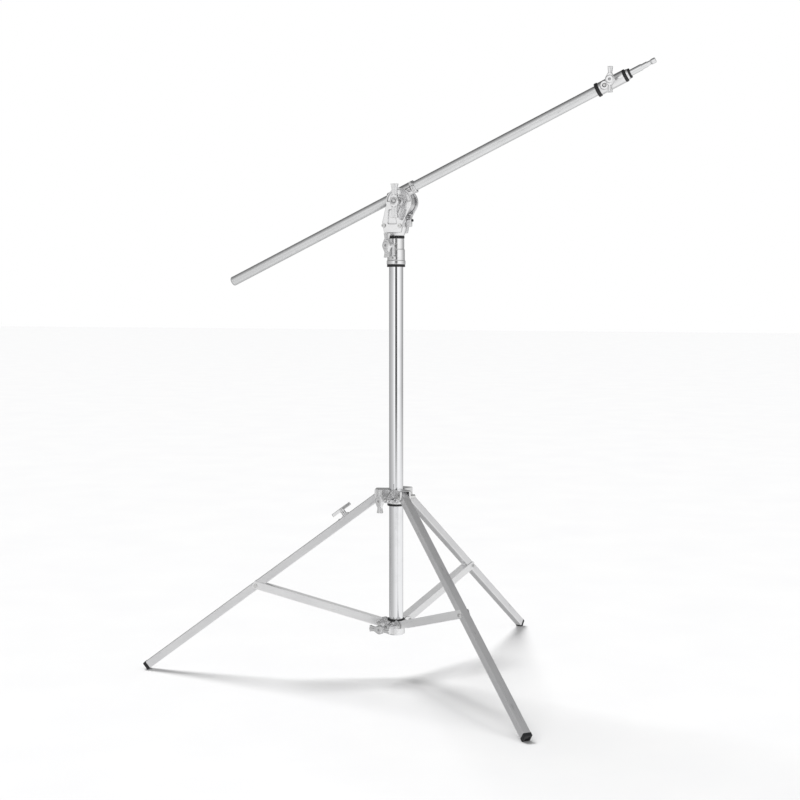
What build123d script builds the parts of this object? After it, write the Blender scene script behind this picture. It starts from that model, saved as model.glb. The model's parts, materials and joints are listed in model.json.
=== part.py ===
from build123d import *
import os
from math import asin, atan2, cos, hypot, radians, sin

# Combi boom stand.  Millimetres, +Z up, floor at z = 0, boom tip towards +X.
# Everything is drawn about the column axis and moved once, when it is written, so that the
# origin ends up under the middle of the whole stand.

# ------------------------------------------------------------------ driving dimensions
CLEARANCE = 0.3            # gap between parts that slide
RUNNING = 0.1              # radial gap of a pin in its hole

COLUMN_R = 22.225          # 1 3/4 in steel tube
COLUMN_WALL = 1.5
COLUMN_BOTTOM = 126.0
COLUMN_TOP = 1344.0
RISER_R = 20.0
RISER_WALL = 2.0
RISER_BOTTOM = 200.0
RISER_TOP = 1440.0

BOOM_R = 15.0
BOOM_WALL = 1.5
BOOM_TILT = 25.25          # degrees above level
BOOM_REAR = 623.0          # from the column axis, along the boom
BOOM_FRONT = 691.0
BOOM_HEIGHT = 1511.5       # where the boom axis crosses the column axis
EXTENSION_R = 12.5
EXTENSION_WALL = 1.5
EXTENSION_REAR = -236.0
EXTENSION_FRONT = 802.0
SPIGOT_R = 7.95            # 5/8 in stud

LEG_SIZE = 25.0
LEG_WALL = 1.5
LEG_CORNER = 2.5
LEG_AZIMUTHS = {"a": 195.1, "b": 315.1, "c": 75.1}
LEG_PIVOT_R = 52.0
LEG_PIVOT_Z = 572.0
FOOT_REACH = 800.0         # where the leg's centre line comes down to FOOT_AXIS_Z
FOOT_AXIS_Z = 16.0
LEG_TO_BRACE = 495.0       # leg pivot to brace bolt
LEG_TOP_OVERHANG = 12.0
FOOT_LENGTH = 11.0
FOOT_FILLET = 3.0
FOOT_FLAT_DEPTH = 1.0      # how much of the rounded corner is worn off where it meets the floor

BRACE_PIVOT_R = 54.0
BRACE_PIVOT_Z = 163.0
BRACE_WIDTH = 29.0
BRACE_SHEET = 1.5
BRACE_WEB = 15.5           # web's outer face above the bolt line
BRACE_SKIRT = 8.5          # cheeks' edge below the bolt line
BRACE_NOTCH = 31.0         # web cut back from the outer bolt
BRACE_END = 8.0            # metal beyond each bolt
BRACE_BOLT_R = 3.0
LEG_BOLT_R = 4.0
FOLDED_LEG_ANGLE = 2.0     # from vertical

PIVOT_OFFSET = 20.0        # column axis to tilt axis
PIVOT_BELOW = 26.0         # boom axis to tilt axis

LEG_COLLAR_R = 29.0
LEG_COLLAR_Z = (545.0, 591.0)
BRACKET_OUTER = 37.0
BRACKET_GAP = LEG_SIZE + 1.0
BRACKET_ABOVE = 21.0       # bracket's top above the leg pivot
LEG_HANDLE_Z = 563.0
STOP_SCREW_AZIMUTHS = (285.1, 15.1, 135.1)

BRACE_COLLAR_R = 27.2
BRACE_COLLAR_Z = (129.0, 171.0)
EAR_GAP = BRACE_WIDTH + 1.0
EAR_SHEET = 3.0
BRACE_HANDLE_Z = 157.0

LEVEL_KNOB_AT = 127.0      # down leg a
LEVEL_TRAVEL = 100.0
INNER_SIZE = LEG_SIZE - 2 * LEG_WALL - 2 * CLEARANCE
INNER_WALL = 1.5
INNER_TOP = 14.0

TOP_COLLAR_Z = (1299.0, 1380.0)
TOP_COLLAR_STEPS = (1311.0, 1346.0)
TOP_COLLAR_RADII = (29.5, 27.5, 25.5)
TOP_HANDLE_Z = 1357.0
TOP_SCREW_Z = 1319.0
SCREW_R = 3.5

HANDLE_AZIMUTH = 255.1     # midway between legs a and b
HANDLE_STUD_R = 4.0
HUB_R = 14.0
HANDLE_DEPTH = 12.0
HUB_RECESS = (3.5, 4.0)    # radius and depth of the socket in a handle's hub
TILT_RECESS = (8.5, 4.0)
# half length and half width at the ends of the three sizes of T handle
COLLAR_HANDLE = (37.5, 10.0)
TIP_HANDLE = (37.5, 7.4)
TILT_HANDLE = (52.0, 12.0)
LOWER_HUB_R = 86.0         # radius at which the two lower T handles' hubs sit
TOP_HUB_R = 46.0
BOSS_R = 8.0
BOSS_END = 62.0

HEAD_BOTTOM = 1387.6
HEAD_R = 34.0
BASE_TOP = 1450.0
CHEEK_IN = 25.8
CHEEK_OUT = 34.5
DISC_R = 42.0
POCKET_DEPTH = 5.0
PIN_R = 5.0
TILT_HUB = 68.0            # tilt handle's hub in front of the column axis
KNOB_Z = 1435.0
KNOB_X = 42.0
KNOB_HALF = 20.0
KNOB_DEPTH = 10.0
KNOB_STUD_END = 4.5        # stud's black end beyond the lock knob
SCREW_SPOTS = ((-29.0, 1419.0), (23.0, 1418.0))
# corners of the cheeks' pockets, from the tilt axis: one each side of a rib that slants
# down from the tilt axis to the base, and one behind it
POCKETS = (((-33, -24), (-14, -24), (-6, -69), (-36, -69)),
           ((2, -16), (14, -16), (-1, -47), (-8, -47)),
           ((16, -25), (25, -25), (15, -56), (6, -56)))

SADDLE_HALF = 24.0
SADDLE_R = 36.0
SLEEVE = (-32.0, 60.0)     # ends of the sleeve from the tilt axis, along the boom
SLEEVE_R = 19.8
HOOK = 9.0                 # ring at the sleeve's rear end that holds down the cap
TONGUE = 2.2               # how far the cap's tongue is stepped down to go under it
CAP_PLANE = 2.0            # the cap's edge above the boom axis
WASHER = (34.0, 1.5)
PINCH_ALONG = 52.5         # pinch screws from the tilt axis, along the boom
PINCH_OUT = 19.6           # and beside the boom axis
PINCH_BOSS_R = 5.6
PINCH_SCREW_R = 2.5

TIP_COLLAR = (706.5, 786.5)
TIP_COLLAR_R = 19.0
TIP_REAR_RING_R = 21.5
TIP_HANDLE_AT = 752.0
TIP_SCREW_AT = 726.0
TIP_SCREW_BOSS_R = 12.5
END_RING = 794.6           # rear of the ring round the extension's end
SPIGOT_END = 888.5
TIP_HUB = 50.0

# ------------------------------------------------------------------ worked out from them
tilt = radians(BOOM_TILT)
boom_dir = Vector(cos(tilt), 0, sin(tilt))
boom_up = Vector(-sin(tilt), 0, cos(tilt))
boom_centre = Vector(0, 0, BOOM_HEIGHT)
# the tilt axis is PIVOT_OFFSET in front of the column axis and PIVOT_BELOW under the boom axis
pivot_z = BOOM_HEIGHT + (PIVOT_OFFSET * sin(tilt) - PIVOT_BELOW) / cos(tilt)
pivot = Vector(PIVOT_OFFSET, 0, pivot_z)
saddle_at = (pivot - boom_centre).dot(boom_dir)     # boom station over the tilt axis

leg_run = FOOT_REACH - LEG_PIVOT_R
leg_drop = LEG_PIVOT_Z - FOOT_AXIS_Z
leg_angle = atan2(leg_run, leg_drop)                # from vertical
brace_r = LEG_PIVOT_R + LEG_TO_BRACE * sin(leg_angle)
brace_z = LEG_PIVOT_Z - LEG_TO_BRACE * cos(leg_angle)
brace_length = hypot(brace_r - BRACE_PIVOT_R, brace_z - BRACE_PIVOT_Z)
brace_angle = atan2(brace_r - BRACE_PIVOT_R, brace_z - BRACE_PIVOT_Z)
# folded: the same triangle with the leg nearly upright gives the brace angle and the travel
folded_leg = radians(FOLDED_LEG_ANGLE)
folded_bolt_r = LEG_PIVOT_R + LEG_TO_BRACE * sin(folded_leg)
folded_brace = asin((folded_bolt_r - BRACE_PIVOT_R) / brace_length)
fold_travel = (BRACE_PIVOT_Z + brace_length * cos(folded_brace)
               + LEG_TO_BRACE * cos(folded_leg) - LEG_PIVOT_Z)
# the rounded lower corner of the foot dips FOOT_FLAT_DEPTH under the floor before it is cut
FOOT_SIZE = LEG_SIZE + 1.4
corner_arm = FOOT_SIZE / 2 - FOOT_FILLET
leg_end = FOOT_FILLET + (LEG_PIVOT_Z - corner_arm * sin(leg_angle) - FOOT_FILLET
                         + FOOT_FLAT_DEPTH) / cos(leg_angle)

pieces = {}


def keep(builder, label):
    """Remember a finished piece under its name."""
    builder.part.label = label
    pieces[label] = builder.part


def radial(azimuth):
    return Vector(cos(radians(azimuth)), sin(radians(azimuth)), 0)


def tangent(azimuth):
    return Vector(-sin(radians(azimuth)), cos(radians(azimuth)), 0)


def side_plane(azimuth):
    """Upright plane through the column axis: local x is radius, local y is height."""
    return Plane(origin=(0, 0, 0), x_dir=radial(azimuth), z_dir=tangent(azimuth) * -1)


def outward_plane(azimuth, height):
    """Plane facing away from the column: local z is radius, local x is up."""
    return Plane(origin=(0, 0, height), x_dir=(0, 0, 1), z_dir=radial(azimuth))


def leg_plane(azimuth):
    """Local z runs down the leg from its pivot, local x along the pivot bolt."""
    start = radial(azimuth) * LEG_PIVOT_R + Vector(0, 0, LEG_PIVOT_Z)
    along = radial(azimuth) * sin(leg_angle) - Vector(0, 0, cos(leg_angle))
    return Plane(origin=start, x_dir=tangent(azimuth), z_dir=along)


def leg_point(azimuth, distance):
    plane = leg_plane(azimuth)
    return plane.origin + plane.z_dir * distance


def across_leg(azimuth, distance):
    """Plane square to the side of the leg: local z runs along the bolts."""
    plane = leg_plane(azimuth)
    return Plane(origin=leg_point(azimuth, distance), x_dir=plane.z_dir, z_dir=plane.x_dir)


def brace_plane(azimuth):
    """Local x runs from the outer bolt to the column, local y towards the web."""
    start = radial(azimuth) * brace_r + Vector(0, 0, brace_z)
    along = radial(azimuth) * -sin(brace_angle) - Vector(0, 0, cos(brace_angle))
    return Plane(origin=start, x_dir=along, z_dir=tangent(azimuth))


def boom_plane(station):
    """Plane square to the boom: local z runs towards the tip, local x is sideways."""
    return Plane(origin=boom_centre + boom_dir * station, x_dir=(0, 1, 0), z_dir=boom_dir)


def rod(plane, radius, start, end, mode=Mode.ADD):
    """Solid round bar from start to end along the plane's normal."""
    with BuildSketch(plane.offset(start)) as face:
        Circle(radius)
    extrude(face.sketch, amount=end - start, mode=mode)


def ring(label, plane, outer, inner, start, end, chamfer_by=0.0):
    """Plain ring with optional chamfered outer edges."""
    with BuildPart() as piece:
        rod(plane, outer, start, end)
        if chamfer_by:
            chamfer(piece.edges().filter_by(GeomType.CIRCLE), chamfer_by)
        rod(plane, inner, start - 1, end + 1, Mode.SUBTRACT)
    keep(piece, label)


def t_handle(label, plane, size, recess=HUB_RECESS, bore=0.0):
    """Cast T handle: hub on the plane, bar along local x, waisted arms, recessed screw."""
    half, end = size
    waist = 2 + end * 0.55
    upper = [(-half, end), (-half * 0.74, waist + 0.5), (-half * 0.5, waist), (-9, 11.4), (0, HUB_R),
             (9, 11.4), (half * 0.5, waist), (half * 0.74, waist + 0.5), (half, end)]
    lower = [(-x, -y) for x, y in upper]
    with BuildPart() as piece:
        with BuildSketch(plane):
            with BuildLine():
                Spline(upper)
                Line(upper[-1], lower[0])
                Spline(lower)
                Line(lower[-1], upper[0])
            make_face()
        extrude(amount=HANDLE_DEPTH)
        chamfer(piece.faces().sort_by(Axis(plane.origin, plane.z_dir))[-1].edges(), 1.4)
        # each arm is thinned on both sides of a rib that runs down its middle
        with BuildSketch(plane.offset(HANDLE_DEPTH)):
            for side in (1, -1):
                for edge in (1, -1):
                    with Locations((side * (HUB_R + half) / 2 + side * 5, edge * (end + 7) / 2)):
                        Rectangle(half - HUB_R + 4, end + 2)
        extrude(amount=-3.5, mode=Mode.SUBTRACT)
        rod(plane, HUB_R - 5, -6, 0.5)
        rod(plane, HUB_R - 3, HANDLE_DEPTH - 1, HANDLE_DEPTH + 2)
        rod(plane, recess[0], HANDLE_DEPTH + 2 - recess[1], HANDLE_DEPTH + 3, Mode.SUBTRACT)
        if bore:
            rod(plane, bore, -7, HANDLE_DEPTH + 3, Mode.SUBTRACT)
    keep(piece, label)


def wing_knob(label, plane, half_length, bore=0.0):
    """Small two-winged knob: hub on the plane, wings along local x."""
    with BuildPart() as piece:
        with BuildSketch(plane):
            Circle(8)
            for side in (1, -1):
                with BuildLine():
                    Polyline((side * 3, 6.5), (side * (half_length - 2), 4.5),
                             (side * half_length, 2.5), (side * half_length, -2.5),
                             (side * (half_length - 2), -4.5), (side * 3, -6.5), close=True)
                make_face()
        extrude(amount=KNOB_DEPTH)
        chamfer(piece.faces().sort_by(Axis(plane.origin, plane.z_dir))[-1].edges(), 1.2)
        rod(plane, 8, -5, 0.5)
        if bore:
            rod(plane, bore, -6, KNOB_DEPTH + 1, Mode.SUBTRACT)
    keep(piece, label)


def stud(label, plane, start, end):
    """Threaded stud of a handle."""
    with BuildPart() as piece:
        rod(plane, HANDLE_STUD_R, start, end)
    keep(piece, label)


# ------------------------------------------------------------------ column and riser
def column():
    with BuildPart() as tube:
        rod(Plane.XY, COLUMN_R, COLUMN_BOTTOM, COLUMN_TOP)
        rod(Plane.XY, COLUMN_R - COLUMN_WALL, COLUMN_BOTTOM - 1, COLUMN_TOP + 1, Mode.SUBTRACT)
    keep(tube, "column_tube")

    with BuildPart() as tube:
        rod(Plane.XY, RISER_R, RISER_BOTTOM, RISER_TOP)
        rod(Plane.XY, RISER_R - RISER_WALL, RISER_BOTTOM - 1, RISER_TOP + 1, Mode.SUBTRACT)
    keep(tube, "riser_tube")

    # guide bush under the riser: it slides in the column and the riser turns on its spigot
    bush_r = COLUMN_R - COLUMN_WALL - CLEARANCE
    with BuildPart() as bush:
        rod(Plane.XY, bush_r, RISER_BOTTOM - 24, RISER_BOTTOM - CLEARANCE)
        rod(Plane.XY, RISER_R - RISER_WALL - CLEARANCE, RISER_BOTTOM - 1, RISER_BOTTOM + 30)
        rod(Plane.XY, RISER_R - RISER_WALL - 4, RISER_BOTTOM - 25, RISER_BOTTOM + 31, Mode.SUBTRACT)
    keep(bush, "riser_bush")


def clamp_boss(height, rib_low, rib_high):
    """Boss of a tripod collar's T handle, with a web above and below it."""
    face = outward_plane(HANDLE_AZIMUTH, height)
    with BuildSketch(side_plane(HANDLE_AZIMUTH).offset(-3)) as web:
        with BuildLine():
            Polyline((20, rib_low), (32, rib_low), (BOSS_END - 6, height - 5),
                     (BOSS_END - 6, height + 5), (32, rib_high), (20, rib_high), close=True)
        make_face()
    extrude(web.sketch, amount=6)
    rod(face, BOSS_R, 20, BOSS_END)
    rod(face, BOSS_R + 2, BOSS_END - 7, BOSS_END)
    rod(face, HANDLE_STUD_R + RUNNING, 15, BOSS_END + 1, Mode.SUBTRACT)


# ------------------------------------------------------------------ leg collar


def leg_collar():
    low, high = LEG_COLLAR_Z
    bracket_top = LEG_PIVOT_Z + BRACKET_ABOVE
    with BuildPart() as collar:
        rod(Plane.XY, LEG_COLLAR_R, low, high)
        chamfer(collar.edges().filter_by(GeomType.CIRCLE), 2)
        for azimuth in LEG_AZIMUTHS.values():
            with BuildSketch(side_plane(azimuth).offset(-BRACKET_OUTER / 2)):
                with BuildLine():
                    Polyline((20, low + 6), (42, low + 6), (67, LEG_PIVOT_Z - 6),
                             (67, bracket_top - 3), (64, bracket_top), (20, bracket_top),
                             close=True)
                make_face()
            extrude(amount=BRACKET_OUTER)
        for azimuth in LEG_AZIMUTHS.values():
            with BuildSketch(side_plane(azimuth).offset(-BRACKET_GAP / 2)):
                with BuildLine():
                    Polyline((32, low - 10), (90, low - 10), (90, bracket_top - 3),
                             (32, bracket_top - 3), close=True)
                make_face()
            extrude(amount=BRACKET_GAP, mode=Mode.SUBTRACT)
            with BuildSketch(side_plane(azimuth).offset(-BRACKET_OUTER)):
                with Locations((LEG_PIVOT_R, LEG_PIVOT_Z)):
                    Circle(LEG_BOLT_R)
            extrude(amount=2 * BRACKET_OUTER, mode=Mode.SUBTRACT)
        clamp_boss(LEG_HANDLE_Z, low + 2, high - 4)
        # stop screws of the brackets, on the two sides away from the handle
        for azimuth in STOP_SCREW_AZIMUTHS:
            rod(outward_plane(azimuth, LEG_HANDLE_Z - 4), 6, 20, 36)
            rod(outward_plane(azimuth, LEG_HANDLE_Z - 4), 2.8, 32, 37, Mode.SUBTRACT)
        rod(Plane.XY, COLUMN_R + CLEARANCE, low - 20, high + 20, Mode.SUBTRACT)
    keep(collar, "leg_collar")
    ring("leg_collar_ring", Plane.XY, LEG_COLLAR_R - 1, COLUMN_R + CLEARANCE, low - 6, low, 0.8)

    with BuildPart() as bolts:
        for azimuth in LEG_AZIMUTHS.values():
            across = across_leg(azimuth, 0)
            rod(across, LEG_BOLT_R, -BRACKET_OUTER / 2 - 1, BRACKET_OUTER / 2 + 1)
            rod(across, 7, -BRACKET_OUTER / 2 - 4, -BRACKET_OUTER / 2)
            rod(across, 6, BRACKET_OUTER / 2, BRACKET_OUTER / 2 + 21)
    keep(bolts, "leg_pivot_bolts")

    face = outward_plane(HANDLE_AZIMUTH, LEG_HANDLE_Z)
    t_handle("leg_collar_handle", face.offset(LOWER_HUB_R), COLLAR_HANDLE)
    stud("leg_collar_stud", face, COLUMN_R + 1, LOWER_HUB_R - 6)


# ------------------------------------------------------------------ brace collar


def brace_collar():
    low, high = BRACE_COLLAR_Z
    ear_outer = EAR_GAP + 2 * EAR_SHEET
    with BuildPart() as collar:
        rod(Plane.XY, BRACE_COLLAR_R, low, high)
        for azimuth in LEG_AZIMUTHS.values():
            with BuildSketch(side_plane(azimuth).offset(-ear_outer / 2)):
                with BuildLine():
                    Polyline((18, BRACE_PIVOT_Z - 14), (50, BRACE_PIVOT_Z - 10),
                             (63, BRACE_PIVOT_Z - 4), (63, BRACE_PIVOT_Z + 6),
                             (54, BRACE_PIVOT_Z + 12), (34, BRACE_PIVOT_Z + 16),
                             (18, BRACE_PIVOT_Z + 8), close=True)
                make_face()
            extrude(amount=ear_outer)
        for azimuth in LEG_AZIMUTHS.values():
            with BuildSketch(side_plane(azimuth).offset(-EAR_GAP / 2)):
                with BuildLine():
                    Polyline((BRACE_COLLAR_R, low - 10), (90, low - 10), (90, high + 40),
                             (BRACE_COLLAR_R, high + 40), close=True)
                make_face()
            extrude(amount=EAR_GAP, mode=Mode.SUBTRACT)
            with BuildSketch(side_plane(azimuth).offset(-ear_outer)):
                with Locations((BRACE_PIVOT_R, BRACE_PIVOT_Z)):
                    Circle(BRACE_BOLT_R)
            extrude(amount=2 * ear_outer, mode=Mode.SUBTRACT)
        clamp_boss(BRACE_HANDLE_Z, low + 2, high - 2)
        rod(Plane.XY, COLUMN_R + CLEARANCE, low - 20, high + 20, Mode.SUBTRACT)
        rod(Plane.XY, BRACE_COLLAR_R + 1.3, high, high + 30, Mode.SUBTRACT)
    keep(collar, "brace_collar")
    ring("brace_collar_ring", Plane.XY, BRACE_COLLAR_R + 1, COLUMN_R + CLEARANCE, high, high + 6, 0.8)

    with BuildPart() as bolts:
        for azimuth in LEG_AZIMUTHS.values():
            end = brace_plane(azimuth)
            across = Plane(origin=end.origin + end.x_dir * brace_length, x_dir=end.x_dir,
                           z_dir=end.z_dir)
            for side in (1, -1):
                with BuildSketch(across.offset(side * EAR_GAP / 2)):
                    Circle(BRACE_BOLT_R)
                extrude(amount=side * EAR_SHEET)
                with BuildSketch(across.offset(side * ear_outer / 2)):
                    RegularPolygon(5.5, 6)
                extrude(amount=side * 4)
    keep(bolts, "brace_collar_bolts")

    face = Plane(origin=(0, 0, BRACE_HANDLE_Z), x_dir=tangent(HANDLE_AZIMUTH),
                 z_dir=radial(HANDLE_AZIMUTH))
    t_handle("brace_collar_handle", face.offset(LOWER_HUB_R), COLLAR_HANDLE)
    stud("brace_collar_stud", face, COLUMN_R + 1, LOWER_HUB_R - 6)


# ------------------------------------------------------------------ legs, feet and braces


def square_tube(plane, size, wall, corner, start, end):
    with BuildSketch(plane.offset(start)) as face:
        RectangleRounded(size, size, corner)
        RectangleRounded(size - 2 * wall, size - 2 * wall, corner - wall / 2, mode=Mode.SUBTRACT)
    extrude(face.sketch, amount=end - start)


def leg(letter):
    azimuth = LEG_AZIMUTHS[letter]
    plane = leg_plane(azimuth)
    tube_end = leg_end - FOOT_LENGTH - (CLEARANCE if letter == "a" else 0)
    with BuildPart() as tube:
        square_tube(plane, LEG_SIZE, LEG_WALL, LEG_CORNER, -LEG_TOP_OVERHANG, tube_end)
        rod(across_leg(azimuth, 0), LEG_BOLT_R + RUNNING, -LEG_SIZE, LEG_SIZE, Mode.SUBTRACT)
        rod(across_leg(azimuth, LEG_TO_BRACE), BRACE_BOLT_R, -LEG_SIZE, LEG_SIZE, Mode.SUBTRACT)
        if letter == "a":
            rod(knob_plane(), HANDLE_STUD_R + RUNNING, 0, LEG_SIZE, Mode.SUBTRACT)
    keep(tube, f"leg_{letter}_tube")

    cheek = BRACE_WIDTH / 2 + CLEARANCE
    with BuildPart() as bolt:
        across = across_leg(azimuth, LEG_TO_BRACE)
        rod(across, BRACE_BOLT_R, -cheek - 1, cheek + 1)
        rod(across, 5.5, cheek, cheek + 3.5)
        with BuildSketch(across.offset(-cheek - 4)):
            RegularPolygon(5.5, 6)
        extrude(amount=4)
    keep(bolt, f"leg_{letter}_bolt")

    bore = (INNER_SIZE - 2 * INNER_WALL) if letter == "a" else (LEG_SIZE - 2 * LEG_WALL)
    with BuildPart() as foot:
        with BuildSketch(plane.offset(leg_end - FOOT_LENGTH)):
            RectangleRounded(FOOT_SIZE, FOOT_SIZE, FOOT_FILLET + 0.5)
        extrude(amount=FOOT_LENGTH)
        end_face = foot.faces().sort_by(Axis(plane.origin, plane.z_dir))[-1]
        fillet(end_face.edges(), FOOT_FILLET)
        with BuildSketch(plane.offset(leg_end)):
            RectangleRounded(15, 15, 2.5)
        extrude(amount=-3, mode=Mode.SUBTRACT)
        with BuildSketch(plane.offset(leg_end - FOOT_LENGTH)):
            RectangleRounded(bore, bore, 2)
        extrude(amount=-26)
        ground = leg_point(azimuth, leg_end)
        with BuildSketch(Plane(origin=(ground.X, ground.Y, 0))):
            Rectangle(120, 120)
        extrude(amount=-20, mode=Mode.SUBTRACT)
    keep(foot, f"leg_{letter}_foot")


def knob_plane():
    """On leg a's upper face: local z stands away from the leg, local x runs along it."""
    plane = leg_plane(LEG_AZIMUTHS["a"])
    return Plane(origin=leg_point(LEG_AZIMUTHS["a"], LEVEL_KNOB_AT), x_dir=plane.z_dir,
                 z_dir=plane.y_dir)


def levelling_leg():
    """Inner tube of leg a, which carries its foot, and the knob that clamps it."""
    azimuth = LEG_AZIMUTHS["a"]
    plane = leg_plane(azimuth)
    with BuildPart() as inner:
        square_tube(plane, INNER_SIZE, INNER_WALL, LEG_CORNER - 0.8, INNER_TOP, leg_end - FOOT_LENGTH)
        slot_middle = LEG_TO_BRACE - LEVEL_TRAVEL / 2
        with BuildSketch(across_leg(azimuth, slot_middle).offset(-LEG_SIZE)):
            SlotCenterToCenter(LEVEL_TRAVEL + 4, 2 * (BRACE_BOLT_R + CLEARANCE))
        extrude(amount=2 * LEG_SIZE, mode=Mode.SUBTRACT)
    keep(inner, "levelling_tube")

    half = LEG_SIZE / 2
    face = knob_plane()
    with BuildPart() as boss:
        with BuildSketch(face.offset(half)):
            RectangleRounded(24, 20, 2)
        extrude(amount=3)
        rod(face, 8, half, half + 11)
        rod(face, HANDLE_STUD_R + RUNNING, half - 1, half + 12, Mode.SUBTRACT)
    keep(boss, "levelling_boss")
    wing_knob("levelling_knob", face.offset(half + 17), 35.0)
    stud("levelling_stud", face, INNER_SIZE / 2 + CLEARANCE, half + 12)

    with BuildPart() as screw:
        shifted = Plane(origin=face.origin + face.x_dir * 25, x_dir=face.x_dir, z_dir=face.z_dir)
        rod(shifted, 3, half, half + 2)
    keep(screw, "levelling_stop_screw")


def brace(letter):
    plane = brace_plane(LEG_AZIMUTHS[letter])
    inner = BRACE_WIDTH - 2 * BRACE_SHEET
    reach = brace_length + BRACE_END
    with BuildPart() as channel:
        with BuildSketch(plane.offset(-BRACE_WIDTH / 2)):
            with BuildLine():
                Polyline((-BRACE_END - 2, -BRACE_SKIRT + 5), (-BRACE_END + 3, -BRACE_SKIRT),
                         (reach - 3, -BRACE_SKIRT), (reach, -BRACE_SKIRT + 3),
                         (reach, BRACE_WEB - 3), (reach - 3, BRACE_WEB),
                         (-BRACE_END + 3, BRACE_WEB), (-BRACE_END - 2, BRACE_WEB - 7), close=True)
            make_face()
        extrude(amount=BRACE_WIDTH)
        with BuildSketch(plane.offset(-inner / 2)):
            with Locations((reach / 2, BRACE_WEB - BRACE_SHEET - 25)):
                Rectangle(reach + 60, 50)
            with Locations((BRACE_NOTCH - 30, BRACE_WEB)):
                Rectangle(60, 8)
        extrude(amount=inner, mode=Mode.SUBTRACT)
        with BuildSketch(plane.offset(-BRACE_WIDTH)):
            with Locations((0, 0), (brace_length, 0)):
                Circle(BRACE_BOLT_R + RUNNING)
        extrude(amount=2 * BRACE_WIDTH, mode=Mode.SUBTRACT)
    keep(channel, f"brace_{letter}")


# ------------------------------------------------------------------ top collar of the column


def top_collar():
    low, high = TOP_COLLAR_Z
    step_low, step_high = TOP_COLLAR_STEPS
    levels = (low, step_low, step_high, high)
    with BuildPart() as collar:
        for radius, start, end in zip(TOP_COLLAR_RADII, levels, levels[1:]):
            rod(Plane.XY, radius, start, end)
            outer = collar.edges().filter_by(GeomType.CIRCLE).group_by(Axis.Z)[-1]
            chamfer(outer, 1.2)
        # clamp lug between the two handle bosses, towards the handle
        with BuildSketch(Plane.XY.offset(step_low + 12)):
            with BuildLine():
                edge = tangent(HANDLE_AZIMUTH) * 9
                near = radial(HANDLE_AZIMUTH) * 18
                far = radial(HANDLE_AZIMUTH) * 34
                Polyline((near + edge), (far + edge), (far - edge), (near - edge), close=True)
            make_face()
        extrude(amount=step_high - step_low)
        rod(outward_plane(HANDLE_AZIMUTH, TOP_HANDLE_Z), BOSS_R, 18, 38)
        rod(outward_plane(HANDLE_AZIMUTH, TOP_HANDLE_Z), HANDLE_STUD_R + RUNNING, 15, 39,
            Mode.SUBTRACT)
        screw_face = outward_plane(HANDLE_AZIMUTH + 14, TOP_SCREW_Z)
        rod(screw_face, 2 * SCREW_R, 20, 33)
        rod(screw_face, SCREW_R, 15, 34, Mode.SUBTRACT)
        rod(Plane.XY, COLUMN_R, low - 1, COLUMN_TOP, Mode.SUBTRACT)
        rod(Plane.XY, RISER_R + CLEARANCE, low - 1, high + 1, Mode.SUBTRACT)
    keep(collar, "top_collar")
    ring("top_collar_lower_ring", Plane.XY, 28.5, COLUMN_R, low - 8, low, 1)
    ring("top_collar_upper_ring", Plane.XY, 26.5, RISER_R + CLEARANCE, high, high + 7, 1)

    with BuildPart() as screw:
        rod(screw_face, SCREW_R, COLUMN_R, 31)
        rod(screw_face, 2, 28, 32, Mode.SUBTRACT)
    keep(screw, "top_collar_screw")

    face = outward_plane(HANDLE_AZIMUTH, TOP_HANDLE_Z)
    t_handle("top_collar_handle", face.offset(TOP_HUB_R), COLLAR_HANDLE)
    stud("top_collar_stud", face, RISER_R + 1, TOP_HUB_R - 6)


# ------------------------------------------------------------------ head


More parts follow.
